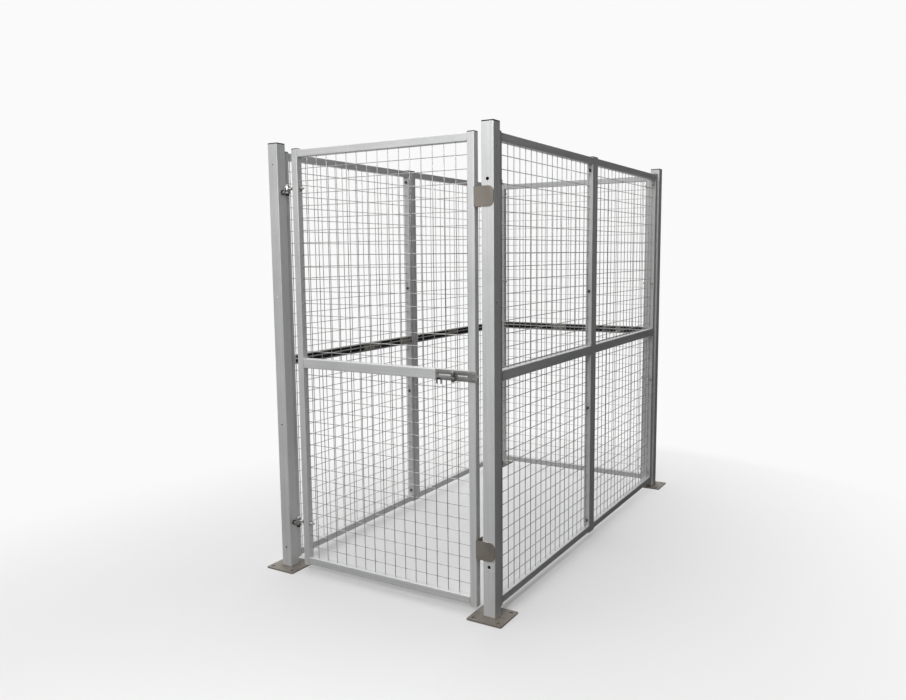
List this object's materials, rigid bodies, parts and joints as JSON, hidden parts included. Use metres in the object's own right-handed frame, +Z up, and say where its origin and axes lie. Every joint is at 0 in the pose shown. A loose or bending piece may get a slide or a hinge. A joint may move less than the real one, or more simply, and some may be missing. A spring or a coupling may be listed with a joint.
{
  "type": "wire mesh enclosure with gate",
  "caption": "Free-standing wire mesh enclosure of square galvanised tube: corner posts on base plates, bolted mesh panels with buffer strips and a hinged gate with a sliding latch.",
  "frame": {"origin": "on the floor, under the middle of the enclosure", "axes": "+X along the gate from the hinge side to the latch side, +Y from the gate to the back, +Z up"},
  "size_m": [1.153, 2.111, 1.82],
  "materials": {
    "galvanised_tube": "hot-dip galvanised, dull grey",
    "mesh_wire": "galvanised wire",
    "dull_plate": "weathered zinc plate, brown-grey",
    "black_cap": "moulded, matt",
    "buffer_rubber": "matt, worn to taupe in patches",
    "black_fittings": "black oxide",
    "guide_plastic": "moulded, matt",
    "handle_plastic": "moulded, satin",
    "zinc_fasteners": "zinc plated"
  },
  "bodies": {
    "root": {"post_front_left": "galvanised_tube", "post_front_right": "galvanised_tube", "post_back_left": "galvanised_tube", "post_back_right": "galvanised_tube", "base_plate_front_left": "dull_plate", "base_plate_front_right": "dull_plate", "base_plate_back_left": "dull_plate", "base_plate_back_right": "dull_plate", "post_caps": "black_cap", "frame_left_front": "galvanised_tube", "frame_left_back": "galvanised_tube", "frame_right_front": "galvanised_tube", "frame_right_back": "galvanised_tube", "frame_back": "galvanised_tube", "mesh_left_front": "mesh_wire", "mesh_left_back": "mesh_wire", "mesh_right_front": "mesh_wire", "mesh_right_back": "mesh_wire", "mesh_back": "mesh_wire", "panel_stile_caps": "black_cap", "buffers_left_front": "buffer_rubber", "buffers_left_back": "buffer_rubber", "buffers_right_front": "buffer_rubber", "buffers_right_back": "buffer_rubber", "buffers_back": "buffer_rubber", "buffer_carriers": "galvanised_tube", "panel_bolts": "zinc_fasteners", "post_nuts": "zinc_fasteners", "joint_bolts": "zinc_fasteners", "joint_nuts": "black_fittings", "bolt_washers": "zinc_fasteners", "keeper_upper": "dull_plate", "keeper_lower": "dull_plate", "hinge_lug_upper": "zinc_fasteners", "hinge_lug_lower": "zinc_fasteners", "hinge_lug_nuts": "black_fittings", "hinge_pin_upper": "zinc_fasteners", "hinge_pin_lower": "zinc_fasteners", "hinge_pin_nuts": "black_fittings", "hinge_pin_washers": "zinc_fasteners"},
    "gate": {"gate_frame": "galvanised_tube", "gate_mesh": "mesh_wire", "gate_stile_caps": "black_cap", "gate_eye_bolt_upper": "zinc_fasteners", "gate_eye_bolt_lower": "zinc_fasteners", "eye_bolt_nuts": "black_fittings", "eye_bolt_washers": "zinc_fasteners", "latch_plate": "dull_plate", "latch_rivets": "zinc_fasteners", "latch_staple": "black_fittings", "latch_guide_left": "guide_plastic", "latch_guide_right": "guide_plastic"},
    "latch": {"latch_bolt": "zinc_fasteners", "latch_handle": "handle_plastic"}
  },
  "joints": [
    {"name": "gate_swing", "type": "hinge", "parent": "root", "child": "gate", "pos_m": [-0.451, -0.9825, 0.91], "axis": [0, 0, 1], "range_deg": [-110, 90]},
    {"name": "latch_slide", "type": "slide", "parent": "gate", "child": "latch", "axis": [1, 0, 0], "range_m": [-0.074, 0.043]}
  ]
}
